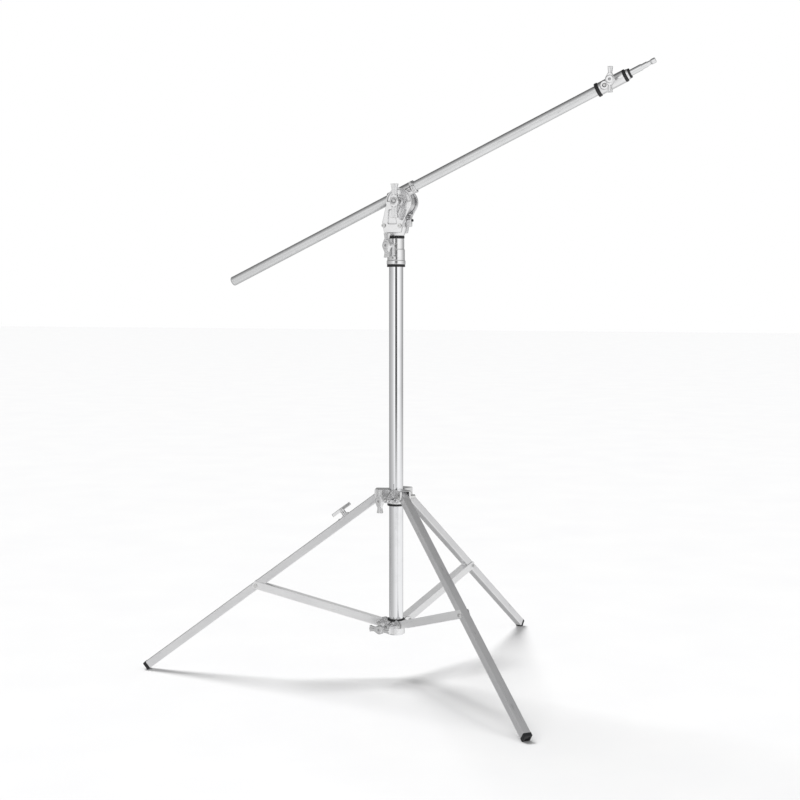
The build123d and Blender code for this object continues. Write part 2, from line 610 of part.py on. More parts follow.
def head():
    pivot_face = Plane(origin=pivot, x_dir=(1, 0, 0), z_dir=(0, -1, 0))
    lock = Plane(origin=(0, 0, KNOB_Z), x_dir=(0, 0, 1), z_dir=(1, 0, 0))
    spots = [Plane(origin=(x, 0, z), x_dir=(1, 0, 0), z_dir=(0, -1, 0)) for x, z in SCREW_SPOTS]
    with BuildPart() as base:
        with BuildSketch(Plane.XY.offset(HEAD_BOTTOM)):
            Circle(26)
        with BuildSketch(Plane.XY.offset(HEAD_BOTTOM + 26)):
            Circle(HEAD_R)
        loft()
        rod(Plane.XY, HEAD_R, HEAD_BOTTOM + 26, BASE_TOP - 6)
        with BuildSketch(Plane.XY.offset(BASE_TOP - 6)):
            Circle(HEAD_R)
        with BuildSketch(Plane.XY.offset(BASE_TOP)):
            Circle(28)
        loft()
        # rear cheek, cast in one with the base
        with BuildSketch(pivot_face.offset(-CHEEK_OUT)):
            Circle(DISC_R)
            with BuildLine():
                Polyline(*cheek_points(), close=True)
            make_face()
        extrude(amount=CHEEK_OUT - CHEEK_IN)
        cheek_pockets(pivot_face, -CHEEK_OUT, POCKET_DEPTH)
        # flat for the front cheek
        with BuildSketch(pivot_face.offset(CHEEK_IN)):
            Rectangle(300, 300)
        extrude(amount=40, mode=Mode.SUBTRACT)
        rod(pivot_face, PIN_R, -60, 0, Mode.SUBTRACT)
        rod(lock, 8, 20, KNOB_X - 6)
        rod(lock, HANDLE_STUD_R + RUNNING, 10, KNOB_X - 5, Mode.SUBTRACT)
        rod(Plane.XY, RISER_R, HEAD_BOTTOM - 1, RISER_TOP, Mode.SUBTRACT)
        rod(Plane.XY, BOOM_R + 1.5, HEAD_BOTTOM - 1, BASE_TOP + 60, Mode.SUBTRACT)
    keep(base, "head_base")

    with BuildPart() as cheek:
        with BuildSketch(pivot_face.offset(CHEEK_IN)):
            Circle(DISC_R)
            with BuildLine():
                Polyline(*cheek_points(), close=True)
            make_face()
        extrude(amount=CHEEK_OUT - CHEEK_IN)
        cheek_pockets(pivot_face, CHEEK_OUT, -POCKET_DEPTH)
        rod(pivot_face, 13, CHEEK_OUT - 4, CHEEK_OUT + 8)
        rod(pivot_face, PIN_R, 0, 60, Mode.SUBTRACT)
        for spot in spots:
            rod(spot, 3, 0, 60, Mode.SUBTRACT)
    keep(cheek, "head_front_cheek")

    with BuildPart() as screws:
        for spot in spots:
            rod(spot, 3, CHEEK_IN, CHEEK_OUT + 1)
            rod(spot, 6, CHEEK_OUT, CHEEK_OUT + 5)
            with BuildSketch(spot.offset(CHEEK_OUT + 5)):
                RegularPolygon(3, 6)
            extrude(amount=-3, mode=Mode.SUBTRACT)
    keep(screws, "head_screws")

    with BuildPart() as bolt:
        rod(pivot_face, PIN_R, -CHEEK_OUT - 1, TILT_HUB + HANDLE_DEPTH + 1)
        with BuildSketch(pivot_face.offset(-CHEEK_OUT)):
            RegularPolygon(10, 6)
        extrude(amount=-7)
        chamfer(bolt.edges().filter_by(GeomType.CIRCLE).group_by(Axis.Y)[0], 1)
    keep(bolt, "tilt_bolt")

    handle_face = Plane(origin=pivot, x_dir=(0, 0, 1), z_dir=(0, -1, 0))
    t_handle("tilt_handle", handle_face.offset(TILT_HUB), TILT_HANDLE, TILT_RECESS,
             PIN_R + RUNNING / 2)

    wing_knob("head_lock_knob", lock.offset(KNOB_X), KNOB_HALF, HANDLE_STUD_R)
    stud("head_lock_stud", lock, RISER_R + CLEARANCE, KNOB_X + KNOB_DEPTH + KNOB_STUD_END)


def cheek_pockets(face, surface, depth):
    """Relief of a cheek's outer side: a ring round the tilt axis and two slanted pockets."""
    with BuildSketch(face.offset(surface)) as relief:
        Circle(DISC_R - 4)
        Circle(20, mode=Mode.SUBTRACT)
        with Locations((0, -30)):
            Rectangle(100, 60, mode=Mode.SUBTRACT)
    extrude(relief.sketch, amount=depth, mode=Mode.SUBTRACT)
    for corners in POCKETS:
        with BuildSketch(face.offset(surface)) as pocket:
            with BuildLine():
                Polyline(*corners, close=True)
            make_face()
            fillet(pocket.vertices(), 3)
        extrude(pocket.sketch, amount=depth, mode=Mode.SUBTRACT)


def cheek_points():
    """Corners of the cheek below its round top, measured from the tilt axis."""
    low = HEAD_BOTTOM + 9 - pivot_z
    belly = HEAD_BOTTOM + 42 - pivot_z
    return ((-41, -10), (-34 - PIVOT_OFFSET, belly), (-28 - PIVOT_OFFSET, low),
            (28 - PIVOT_OFFSET, low), (34 - PIVOT_OFFSET, belly), (41, -10))


# ------------------------------------------------------------------ saddle that holds the boom


def pinch_planes():
    """Axes of the cap's two pinch screws: local z is square to the boom."""
    for side in (PINCH_OUT, -PINCH_OUT):
        spot = boom_centre + boom_dir * (saddle_at + PINCH_ALONG) + Vector(0, side, 0)
        yield Plane(origin=spot, x_dir=boom_dir, z_dir=boom_up)


def half_shell(radius, start, end, mode=Mode.ADD):
    """The part of a bar along the boom that lies above the cap's edge."""
    with BuildSketch(boom_plane(start)) as face:
        Circle(radius)
        with Locations((0, CAP_PLANE - 30)):
            Rectangle(90, 60, mode=Mode.SUBTRACT)
    extrude(face.sketch, amount=end - start, mode=mode)


def saddle():
    pivot_face = Plane(origin=pivot, x_dir=boom_dir, z_dir=(0, -1, 0))
    ends = (saddle_at + SLEEVE[0], saddle_at + SLEEVE[1])
    hook = ends[0] + HOOK
    with BuildPart() as body:
        rod(boom_plane(0), SLEEVE_R, *ends)
        with BuildSketch(pivot_face.offset(-SADDLE_HALF)):
            Circle(SADDLE_R)
        extrude(amount=2 * SADDLE_HALF)
        for pinch in pinch_planes():
            rod(pinch, PINCH_BOSS_R, -13, CAP_PLANE)
        # above the cap's edge only the discs outside the cap and the hooked ring stay
        with BuildSketch(boom_plane(hook)):
            with Locations((0, CAP_PLANE - 1 + 31)):
                Rectangle(2 * (SLEEVE_R + 0.4), 62)
        extrude(amount=ends[1] - hook + 20, mode=Mode.SUBTRACT)
        half_shell(SLEEVE_R - TONGUE + 0.2, ends[0] + 2, hook + 1, Mode.SUBTRACT)
        for pinch in pinch_planes():
            rod(pinch, PINCH_BOSS_R, CAP_PLANE - 1, CAP_PLANE + 14, Mode.SUBTRACT)
            rod(pinch, PINCH_SCREW_R, -14, CAP_PLANE, Mode.SUBTRACT)
        rod(boom_plane(0), BOOM_R + CLEARANCE, saddle_at - SADDLE_R - 1, ends[1] + 1, Mode.SUBTRACT)
        rod(pivot_face, PIN_R + RUNNING, -60, 60, Mode.SUBTRACT)
    keep(body, "saddle")

    with BuildPart() as cap:
        half_shell(SLEEVE_R, hook + CLEARANCE, ends[1])
        half_shell(SLEEVE_R - TONGUE, ends[0] + 2 + CLEARANCE, hook + 1)
        for pinch in pinch_planes():
            rod(pinch, PINCH_BOSS_R - 0.2, CAP_PLANE, 11)
        for pinch in pinch_planes():
            rod(pinch, PINCH_SCREW_R, CAP_PLANE - 1, 12, Mode.SUBTRACT)
            rod(pinch, PINCH_BOSS_R, 11, 24, Mode.SUBTRACT)
        rod(boom_plane(0), BOOM_R + CLEARANCE, ends[0] - 1, ends[1] + 1, Mode.SUBTRACT)
    keep(cap, "saddle_cap")

    with BuildPart() as screws:
        for pinch in pinch_planes():
            rod(pinch, PINCH_SCREW_R, -13, 11)
            rod(pinch, PINCH_BOSS_R - 1.4, 11, 15)
            with BuildSketch(pinch.offset(15)) as socket:
                RegularPolygon(2, 6)
            extrude(socket.sketch, amount=-2.5, mode=Mode.SUBTRACT)
            with BuildSketch(pinch.offset(-16.5)) as nut:
                RegularPolygon(PINCH_BOSS_R - 1, 6)
            extrude(nut.sketch, amount=3.5)
    keep(screws, "saddle_screws")

    radius, thickness = WASHER
    with BuildPart() as washers:
        for start in (SADDLE_HALF, -SADDLE_HALF - thickness):
            rod(pivot_face, radius, start, start + thickness)
        rod(pivot_face, PIN_R + RUNNING, -60, 60, Mode.SUBTRACT)
    keep(washers, "friction_washers")


# ------------------------------------------------------------------ boom, extension and spigot


def boom():
    with BuildPart() as tube:
        rod(boom_plane(0), BOOM_R, -BOOM_REAR + 8, BOOM_FRONT + 40)
        rod(boom_plane(0), BOOM_R - BOOM_WALL, -BOOM_REAR, BOOM_FRONT + 41, Mode.SUBTRACT)
    keep(tube, "boom_tube")

    with BuildPart() as plug:
        with BuildSketch(Plane(origin=boom_centre - boom_dir * BOOM_REAR, x_dir=boom_dir,
                               z_dir=(0, -1, 0))):
            with BuildLine():
                Polyline((0, 0), (0, BOOM_R - 4))
                ThreePointArc((0, BOOM_R - 4), (2.2, BOOM_R - 1), (8, BOOM_R))
                Polyline((8, BOOM_R), (8, BOOM_R - BOOM_WALL), (36, BOOM_R - BOOM_WALL), (36, 0), (0, 0))
            make_face()
        revolve(axis=Axis(boom_centre, boom_dir))
    keep(plug, "boom_end_plug")

    low, high = TIP_COLLAR
    side = Plane(origin=boom_centre + boom_dir * TIP_HANDLE_AT, x_dir=boom_up, z_dir=(0, -1, 0))
    screw_side = Plane(origin=boom_centre + boom_dir * TIP_SCREW_AT, x_dir=boom_up, z_dir=(0, -1, 0))
    with BuildPart() as collar:
        rod(boom_plane(0), TIP_COLLAR_R, low, high)
        rod(side, BOSS_R, 12, 38)
        rod(side, HANDLE_STUD_R + RUNNING, 5, 40, Mode.SUBTRACT)
        rod(screw_side, TIP_SCREW_BOSS_R, 8, 21)
        rod(screw_side, 6, 19, 22, Mode.SUBTRACT)
        rod(screw_side, 4, 12, 30, Mode.SUBTRACT)
        rod(boom_plane(0), BOOM_R, low - 1, BOOM_FRONT + 40, Mode.SUBTRACT)
        rod(boom_plane(0), EXTENSION_R + CLEARANCE, low - 1, high + 1, Mode.SUBTRACT)
    keep(collar, "tip_collar")
    ring("tip_collar_rear_ring", boom_plane(0), TIP_REAR_RING_R, BOOM_R, low - 10, low, 1)
    ring("tip_collar_front_ring", boom_plane(0), 19.2, EXTENSION_R + CLEARANCE, high, high + 8, 1)

    with BuildPart() as screw:
        rod(screw_side, 4, BOOM_R, 21)
        with BuildSketch(screw_side.offset(21)):
            RegularPolygon(2.2, 6)
        extrude(amount=-2.5, mode=Mode.SUBTRACT)
    keep(screw, "tip_collar_screw")

    upright = Plane(origin=side.origin, x_dir=(0, 0, 1), z_dir=(0, -1, 0))
    t_handle("tip_handle", upright.offset(TIP_HUB), TIP_HANDLE)
    stud("tip_stud", side, EXTENSION_R + 0.5, TIP_HUB - 6)


def extension():
    with BuildPart() as tube:
        rod(boom_plane(0), EXTENSION_R, EXTENSION_REAR, EXTENSION_FRONT)
        rod(boom_plane(0), EXTENSION_R - EXTENSION_WALL, EXTENSION_REAR - 1, EXTENSION_FRONT + 1,
            Mode.SUBTRACT)
    keep(tube, "extension_tube")

    with BuildPart() as bush:
        rod(boom_plane(0), BOOM_R - BOOM_WALL - CLEARANCE, EXTENSION_REAR - 12, EXTENSION_REAR)
        rod(boom_plane(0), EXTENSION_R - EXTENSION_WALL, EXTENSION_REAR - 1, EXTENSION_REAR + 24)
        rod(boom_plane(0), EXTENSION_R - 5, EXTENSION_REAR - 13, EXTENSION_REAR + 25, Mode.SUBTRACT)
    keep(bush, "extension_bush")
    ring("extension_chrome_ring", boom_plane(0), 16.0, EXTENSION_R, END_RING, EXTENSION_FRONT, 1.2)
    ring("extension_black_ring", boom_plane(0), 15.0, 9.5, EXTENSION_FRONT, EXTENSION_FRONT + 6, 0.8)

    plug_r = EXTENSION_R - EXTENSION_WALL
    with BuildPart() as spigot:
        with BuildSketch(Plane(origin=boom_centre, x_dir=boom_dir, z_dir=(0, -1, 0))):
            with BuildLine():
                Polyline((EXTENSION_FRONT - 26, 0), (EXTENSION_FRONT - 26, plug_r),
                         (EXTENSION_FRONT, plug_r), (EXTENSION_FRONT, 9.5), (SPIGOT_END - 45, 9.5),
                         (SPIGOT_END - 43, SPIGOT_R), (SPIGOT_END - 27, SPIGOT_R),
                         (SPIGOT_END - 25, 6.6), (SPIGOT_END - 17, 6.3),
                         (SPIGOT_END - 12, SPIGOT_R), (SPIGOT_END - 1.5, SPIGOT_R),
                         (SPIGOT_END, 6.5), (SPIGOT_END, 0), close=True)
            make_face()
        revolve(axis=Axis(boom_centre, boom_dir))
    keep(spigot, "spigot")


column()
leg_collar()
brace_collar()
for letter in LEG_AZIMUTHS:
    leg(letter)
    brace(letter)
levelling_leg()
top_collar()
head()
saddle()
boom()
extension()

# ------------------------------------------------------------------ place and write
boxes = [piece.bounding_box() for piece in pieces.values()]
origin = Vector((min(box.min.X for box in boxes) + max(box.max.X for box in boxes)) / 2,
                (min(box.min.Y for box in boxes) + max(box.max.Y for box in boxes)) / 2)

if __name__ == "__main__":
    os.makedirs("parts", exist_ok=True)
    for label, piece in pieces.items():
        placed = Pos(-origin.X, -origin.Y, 0) * piece
        placed.label = label
        export_step(placed, f"parts/{label}.step")
    print(len(pieces), "pieces; column axis at", round(-origin.X, 3), round(-origin.Y, 3),
          "; the leg collar slides up", round(fold_travel, 3), "to fold")
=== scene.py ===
import json
from math import atan2, cos, pi, radians, sin, tau

import bmesh
import bpy
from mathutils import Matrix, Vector

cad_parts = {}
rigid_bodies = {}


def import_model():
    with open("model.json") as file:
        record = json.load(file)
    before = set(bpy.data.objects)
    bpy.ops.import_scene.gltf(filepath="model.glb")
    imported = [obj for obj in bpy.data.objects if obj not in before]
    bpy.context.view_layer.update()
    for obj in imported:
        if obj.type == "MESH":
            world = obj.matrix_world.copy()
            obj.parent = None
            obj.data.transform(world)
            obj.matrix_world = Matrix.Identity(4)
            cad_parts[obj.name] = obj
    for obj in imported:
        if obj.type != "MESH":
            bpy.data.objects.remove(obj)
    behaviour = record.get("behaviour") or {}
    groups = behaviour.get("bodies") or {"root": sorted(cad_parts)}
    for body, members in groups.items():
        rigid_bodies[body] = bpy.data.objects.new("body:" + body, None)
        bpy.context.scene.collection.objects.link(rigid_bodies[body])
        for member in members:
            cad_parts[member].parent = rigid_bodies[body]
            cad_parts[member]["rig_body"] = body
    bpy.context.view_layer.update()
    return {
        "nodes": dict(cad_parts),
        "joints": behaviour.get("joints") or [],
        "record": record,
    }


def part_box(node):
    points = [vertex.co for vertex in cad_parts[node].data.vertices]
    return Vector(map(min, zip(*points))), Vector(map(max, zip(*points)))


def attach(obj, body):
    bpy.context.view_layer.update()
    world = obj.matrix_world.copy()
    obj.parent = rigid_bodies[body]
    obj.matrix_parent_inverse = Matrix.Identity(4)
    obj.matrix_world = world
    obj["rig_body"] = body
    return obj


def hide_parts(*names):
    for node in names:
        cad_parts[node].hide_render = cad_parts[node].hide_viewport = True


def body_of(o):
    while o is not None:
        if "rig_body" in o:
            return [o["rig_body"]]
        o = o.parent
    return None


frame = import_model()

# Combi boom stand.  Everything is in metres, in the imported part's frame.
MM = 0.001
WELD = 0.001 * MM                    # points nearer than this are one point
WHITE = (1, 1, 1, 1)
joints = {joint["name"]: joint for joint in frame["joints"]}
slots = {part["node"]: part["material_slot"] for part in frame["record"]["subparts"]}
column_axis = Vector(joints["swivel"]["pos_m"])
boom_along = Vector(joints["boom_slide"]["axis"])
UP = Vector((0, 0, 1))

# ------------------------------------------------------------------ camera
CAMERA_AZIMUTH = radians(19.0)       # turned from looking along +Y
CAMERA_DISTANCE = 4.65
CAMERA_HEIGHT = 1.215
CAMERA_SIDE = 0.0122                 # the column stands a little left of the picture's middle
CAMERA_PITCH = radians(4.2)          # looking down
CAMERA_LENS = 66.6
CAMERA_SENSOR = 36.0
CAMERA_CLIP = (0.05, 200.0)

towards_camera = Vector((sin(CAMERA_AZIMUTH), -cos(CAMERA_AZIMUTH), 0))
camera_right = Vector((cos(CAMERA_AZIMUTH), sin(CAMERA_AZIMUTH), 0))


def make_camera():
    """The photograph's viewpoint: level with the column's upper half, looking a little down."""
    data = bpy.data.cameras.new("camera")
    data.lens = CAMERA_LENS
    data.sensor_width = CAMERA_SENSOR
    data.clip_start, data.clip_end = CAMERA_CLIP
    camera = bpy.data.objects.new("camera", data)
    bpy.context.collection.objects.link(camera)
    place = column_axis + towards_camera * CAMERA_DISTANCE + camera_right * CAMERA_SIDE
    camera.location = (place.x, place.y, CAMERA_HEIGHT)
    camera.rotation_euler = (pi / 2 - CAMERA_PITCH, 0, CAMERA_AZIMUTH)
    bpy.context.scene.camera = camera


# ------------------------------------------------------------------ node helpers
FACTOR_SOCKET, FIRST_SOCKET, SECOND_SOCKET, MIXED_SOCKET = 0, 6, 7, 2
NEW_STOP = 0.5                       # where a ramp's new stop appears before it is placed


def add(tree, kind, inputs=None, **settings):
    """A node with its settings, and its sockets linked or given a value."""
    node = tree.nodes.new(kind)
    for name, value in settings.items():
        setattr(node, name, value)
    for name, value in (inputs or {}).items():
        if isinstance(value, bpy.types.NodeSocket):
            tree.links.new(value, node.inputs[name])
        else:
            node.inputs[name].default_value = value
    return node


def ramp(tree, factor, stops):
    """Grey levels along a ramp: stops are (position, level)."""
    node = add(tree, "ShaderNodeValToRGB", {"Fac": factor})
    elements = node.color_ramp.elements
    while len(elements) < len(stops):
        elements.new(NEW_STOP)
    for element, (position, level) in zip(elements, stops):
        element.position = position
        element.color = (level, level, level, 1)
    return node.outputs["Color"]


def between(tree, value, low, high, to_low=0.0, to_high=1.0):
    """Map a value from one range to another, held at both ends."""
    node = add(tree, "ShaderNodeMapRange", {"Value": value, "From Min": low, "From Max": high,
                                            "To Min": to_low, "To Max": to_high})
    return node.outputs["Result"]


def blend_colours(tree, factor, first, second):
    """Mix two colours; the mix node's colour sockets come after those of its other types."""
    values = {FACTOR_SOCKET: factor, FIRST_SOCKET: first, SECOND_SOCKET: second}
    return add(tree, "ShaderNodeMix", values, data_type="RGBA").outputs[MIXED_SOCKET]


def scaled_sum(tree, value, share, base):
    """A base with a share of a value added."""
    node = add(tree, "ShaderNodeMath", {0: value, 1: share, 2: base}, operation="MULTIPLY_ADD")
    return node.outputs[0]


def darker(colour, share):
    """A colour with its red, green and blue cut to a share."""
    return tuple(channel * share for channel in colour[:3]) + (1,)


# ------------------------------------------------------------------ studio
# light that glossy metal sees round the horizon, above it and on the floor, by the angle
# from the camera's side of the column; positive angles lie to the picture's right
HORIZON = ((-180, 0.30), (-116, 0.44), (-90, 0.52), (-60, 0.64), (-42, 0.86), (-32, 1.08),
           (-17, 1.05), (-13, 0.08), (14, 0.08), (20, 1.05), (50, 1.05), (66, 0.90), (86, 0.70),
           (112, 0.42), (180, 0.30))
ABOVE = ((-180, 0.05), (-110, 0.16), (-40, 0.48), (30, 0.55), (100, 0.40), (180, 0.05))
BELOW = ((-180, 0.38), (-116, 0.38), (-90, 0.46), (-50, 0.58), (-17, 0.82), (0, 0.90),
         (45, 0.95), (112, 0.92), (140, 0.66), (180, 0.40))
SKY = 0.45                           # what matt surfaces get from all round
ABOVE_FADE = (radians(10), radians(50))
BELOW_FADE = (radians(4), radians(9))


def make_world():
    """White to the camera, an even grey to matt surfaces, bands of light to glossy ones."""
    world = bpy.data.worlds.new("studio")
    bpy.context.scene.world = world
    world.use_nodes = True
    world.cycles.sampling_method = "NONE"
    tree = world.node_tree
    tree.nodes.clear()
    toward = add(tree, "ShaderNodeTexCoord").outputs["Generated"]
    axes = add(tree, "ShaderNodeSeparateXYZ", {"Vector": toward}).outputs
    around = add(tree, "ShaderNodeMath", {0: axes["Y"], 1: axes["X"]}, operation="ARCTAN2")
    front = atan2(towards_camera.y, towards_camera.x)
    turned = add(tree, "ShaderNodeMath", {0: around.outputs[0], 1: front}, operation="SUBTRACT")
    wrapped = add(tree, "ShaderNodeMath", {0: turned.outputs[0], 1: pi, 2: -pi}, operation="WRAP")
    factor = between(tree, wrapped.outputs[0], -pi, pi)
    level, above, below = (
        ramp(tree, factor, [((angle + 180) / 360, grey) for angle, grey in stops])
        for stops in (HORIZON, ABOVE, BELOW))
    upper = between(tree, axes["Z"], *(sin(angle) for angle in ABOVE_FADE))
    lower = between(tree, axes["Z"], *(-sin(angle) for angle in BELOW_FADE))
    seen = blend_colours(tree, upper, level, above)
    seen = blend_colours(tree, lower, seen, below)
    path = add(tree, "ShaderNodeLightPath").outputs
    matt = blend_colours(tree, path["Is Camera Ray"], (SKY, SKY, SKY, 1), WHITE)
    colour = blend_colours(tree, path["Is Glossy Ray"], matt, seen)
    background = add(tree, "ShaderNodeBackground", {"Color": colour, "Strength": 1.0})
    output = add(tree, "ShaderNodeOutputWorld")
    tree.links.new(background.outputs[0], output.inputs["Surface"])


SUN_POWER = 3.4
SUN_ANGLE = radians(26)
SUN_FROM = Vector((-0.62, 0.50, 1.0))


def make_light():
    """One wide soft light from behind on the left, which no glossy surface mirrors."""
    data = bpy.data.lights.new("soft_key", "SUN")
    data.energy = SUN_POWER
    data.angle = SUN_ANGLE
    light = bpy.data.objects.new("soft_key", data)
    bpy.context.collection.objects.link(light)
    light.rotation_mode = "QUATERNION"
    light.rotation_quaternion = SUN_FROM.to_track_quat("Z", "Y")
    light.visible_glossy = False


FLOOR_HALF = 40.0
FLOOR_TONES = ((0.79, 0.79, 0.795, 1), (0.81, 0.81, 0.81, 1))
FLOOR_ROUGHNESS = 0.8


def make_floor():
    """A plain pale floor with a faint mottle."""
    mesh = bpy.data.meshes.new("floor")
    corners = ((-1, -1), (1, -1), (1, 1), (-1, 1))
    mesh.from_pydata([(x * FLOOR_HALF, y * FLOOR_HALF, 0) for x, y in corners],
                     [], [(0, 1, 2, 3)])
    floor = bpy.data.objects.new("floor", mesh)
    bpy.context.collection.objects.link(floor)
    floor.visible_glossy = False
    material = bpy.data.materials.new("pale_floor")
    material.use_nodes = True
    tree = material.node_tree
    shader = tree.nodes["Principled BSDF"]
    place = add(tree, "ShaderNodeTexCoord").outputs["Object"]
    mottle = add(tree, "ShaderNodeTexNoise", {"Vector": place, "Scale": 3.0, "Detail": 4.0})
    tone = between(tree, mottle.outputs["Fac"], low=0.3, high=0.7)
    tree.links.new(blend_colours(tree, tone, *FLOOR_TONES), shader.inputs["Base Color"])
    shader.inputs["Roughness"].default_value = FLOOR_ROUGHNESS
    mesh.materials.append(material)


# ------------------------------------------------------------------ materials
def begin(name):
    """A new node material, its tree and its shader."""
    material = bpy.data.materials.new(name)
    material.use_nodes = True
    tree = material.node_tree
    return material, tree, tree.nodes["Principled BSDF"]


def grain(tree, along, fine, coarse):
    """Coordinates stretched along a direction: fine across it, coarse along it."""
    place = add(tree, "ShaderNodeTexCoord").outputs["Object"]
    along = Vector(along).normalized()
    across = along.orthogonal().normalized()
    third = along.cross(across)
    parts = {}
    for socket, axis, scale in (("X", across, fine), ("Y", third, fine), ("Z", along, coarse)):
        dot = add(tree, "ShaderNodeVectorMath", {0: place, 1: axis * scale},
                  operation="DOT_PRODUCT")
        parts[socket] = dot.outputs["Value"]
    return add(tree, "ShaderNodeCombineXYZ", parts).outputs["Vector"]


def noise(tree, place, scale, detail=3.0, roughness=0.55):
    """Fractal noise at a scale."""
    node = add(tree, "ShaderNodeTexNoise", {"Vector": place, "Scale": scale, "Detail": detail,
                                            "Roughness": roughness})
    return node.outputs["Fac"]


def bump(tree, shader, height, strength, distance):
    """Fine relief from a height."""
    node = add(tree, "ShaderNodeBump", {"Height": height, "Strength": strength,
                                        "Distance": distance})
    tree.links.new(node.outputs["Normal"], shader.inputs["Normal"])


def chrome(name, along, tint=(0.90, 0.905, 0.92, 1)):
    """Polished plated tube: faint polishing lines, hairline scratches and handling smudges."""
    material, tree, shader = begin(name)
    shader.inputs["Metallic"].default_value = 1.0
    lines = noise(tree, grain(tree, along, fine=900, coarse=6), scale=1.0, detail=4.0)
    place = add(tree, "ShaderNodeTexCoord").outputs["Object"]
    smudge = noise(tree, place, scale=14, detail=5.0, roughness=0.62)
    smudge = between(tree, smudge, low=0.52, high=0.74)
    scratch = noise(tree, grain(tree, along, fine=240, coarse=18), scale=1.0, detail=2.0)
    scratch = between(tree, scratch, low=0.70, high=0.76)
    wear = add(tree, "ShaderNodeMath", {0: smudge, 1: scratch}, operation="MAXIMUM").outputs[0]
    polished = between(tree, lines, low=0.3, high=0.7, to_low=0.045, to_high=0.085)
    rough = scaled_sum(tree, wear, share=0.07, base=polished)
    tree.links.new(rough, shader.inputs["Roughness"])
    tree.links.new(blend_colours(tree, smudge, tint, darker(tint, share=0.93)),
                   shader.inputs["Base Color"])
    bump(tree, shader, lines, strength=0.05, distance=0.02 * MM)
    return material


def brushed(name, along, light, dark, rough=(0.26, 0.40), pits=0.0, metallic=1.0):
    """Satin tube: lines along its length, uneven tone, small dull rubs and handling marks."""
    material, tree, shader = begin(name)
    shader.inputs["Metallic"].default_value = metallic
    lines = noise(tree, grain(tree, along, fine=1400, coarse=9), scale=1.0, detail=5.0,
                  roughness=0.7)
    place = add(tree, "ShaderNodeTexCoord").outputs["Object"]
    cloud = noise(tree, place, scale=9, detail=5.0, roughness=0.6)
    rub = noise(tree, grain(tree, along, fine=130, coarse=22), scale=1.0, detail=4.0,
                roughness=0.65)
    rub = between(tree, rub, low=0.62, high=0.72)
    factor = between(tree, scaled_sum(tree, lines, share=0.7, base=cloud), low=0.60, high=1.10)
    colour = blend_colours(tree, factor, dark, light)
    colour = blend_colours(tree, rub, colour, darker(dark, share=0.86))
    tree.links.new(colour, shader.inputs["Base Color"])
    plain = between(tree, lines, 0.3, 0.7, *rough)
    tree.links.new(scaled_sum(tree, rub, share=0.10, base=plain), shader.inputs["Roughness"])
    height = lines
    if pits:
        grit = noise(tree, place, scale=900, detail=2.0)
        height = scaled_sum(tree, grit, share=pits, base=lines)
    bump(tree, shader, height, strength=0.06, distance=0.05 * MM)
    return material


CORNER_REACH = 6 * MM                # painted shade darkens this near to an inner corner


def cast_metal(name, light, dark, rough=(0.17, 0.27), skin=0.08):
    """Bright die casting: polished high spots, painted grey shade in the inner corners in uneven
    patches, a grainy skin.
    """
    material, tree, shader = begin(name)
    shader.inputs["Metallic"].default_value = 1.0
    place = add(tree, "ShaderNodeTexCoord").outputs["Object"]
    skin_grain = noise(tree, place, scale=1300, detail=3.0, roughness=0.6)
    ripple = noise(tree, place, scale=160, detail=4.0, roughness=0.55)
    cloud = noise(tree, place, scale=38, detail=5.0, roughness=0.6)
    # painted shade: occlusion darkens the colour towards inner corners, in uneven patches, and
    # dulls the gloss there
    corner = add(tree, "ShaderNodeAmbientOcclusion", {"Distance": CORNER_REACH}, samples=6)
    painted_corner_shade = between(tree, corner.outputs["AO"], low=0.35, high=0.85, to_low=1.0, to_high=0.0)
    patches = between(tree, cloud, low=0.3, high=0.6, to_low=0.5, to_high=1.0)
    painted_corner_shade = add(tree, "ShaderNodeMath", {0: painted_corner_shade, 1: patches}, operation="MULTIPLY").outputs[0]
    tone = between(tree, cloud, low=0.34, high=0.66)
    colour = blend_colours(tree, tone, light, darker(light, share=0.93))
    tree.links.new(blend_colours(tree, painted_corner_shade, colour, dark), shader.inputs["Base Color"])
    plain = between(tree, ripple, 0.32, 0.68, *rough)
    tree.links.new(scaled_sum(tree, painted_corner_shade, share=0.22, base=plain), shader.inputs["Roughness"])
    relief = scaled_sum(tree, skin_grain, share=0.35, base=ripple)
    bump(tree, shader, relief, strength=skin, distance=0.12 * MM)
    return material


def black_moulding(name, dark, light, rough=(0.38, 0.55), grit=700):
    """Black plastic or rubber: fine moulded grain and scattered paler scuffs."""
    material, tree, shader = begin(name)
    place = add(tree, "ShaderNodeTexCoord").outputs["Object"]
    fine = noise(tree, place, scale=grit, detail=3.0, roughness=0.6)
    scuff = noise(tree, place, scale=120, detail=6.0, roughness=0.7)
    scuff = between(tree, scuff, low=0.60, high=0.78, to_high=0.8)
    tree.links.new(blend_colours(tree, scuff, dark, light), shader.inputs["Base Color"])
    tree.links.new(between(tree, fine, 0.3, 0.7, *rough), shader.inputs["Roughness"])
    bump(tree, shader, fine, strength=0.35, distance=0.15 * MM)
    return material


FIBRE_TONES = ((0.055, 0.048, 0.043, 1), (0.17, 0.15, 0.13, 1))


def pressed_fibre():
    """Friction washer: flecked fibre with uneven gloss."""
    material, tree, shader = begin("pressed_fibre")
    place = add(tree, "ShaderNodeTexCoord").outputs["Object"]
    fleck = noise(tree, place, scale=1500, detail=4.0, roughness=0.7)
    cloud = noise(tree, place, scale=90, detail=4.0, roughness=0.6)
    factor = between(tree, fleck, low=0.35, high=0.7)
    tree.links.new(blend_colours(tree, factor, *FIBRE_TONES), shader.inputs["Base Color"])
    tree.links.new(between(tree, cloud, low=0.3, high=0.7, to_low=0.5, to_high=0.8),
                   shader.inputs["Roughness"])
    bump(tree, shader, fleck, strength=0.4, distance=0.1 * MM)
    return material


def paint(obj, material):
    """One material over the whole piece."""
    obj.data.materials.clear()
    obj.data.materials.append(material)


# ------------------------------------------------------------------ pieces
def link(name, mesh):
    """A new object for a mesh, in the scene."""
    piece = bpy.data.objects.new(name, mesh)
    bpy.context.collection.objects.link(piece)
    return piece


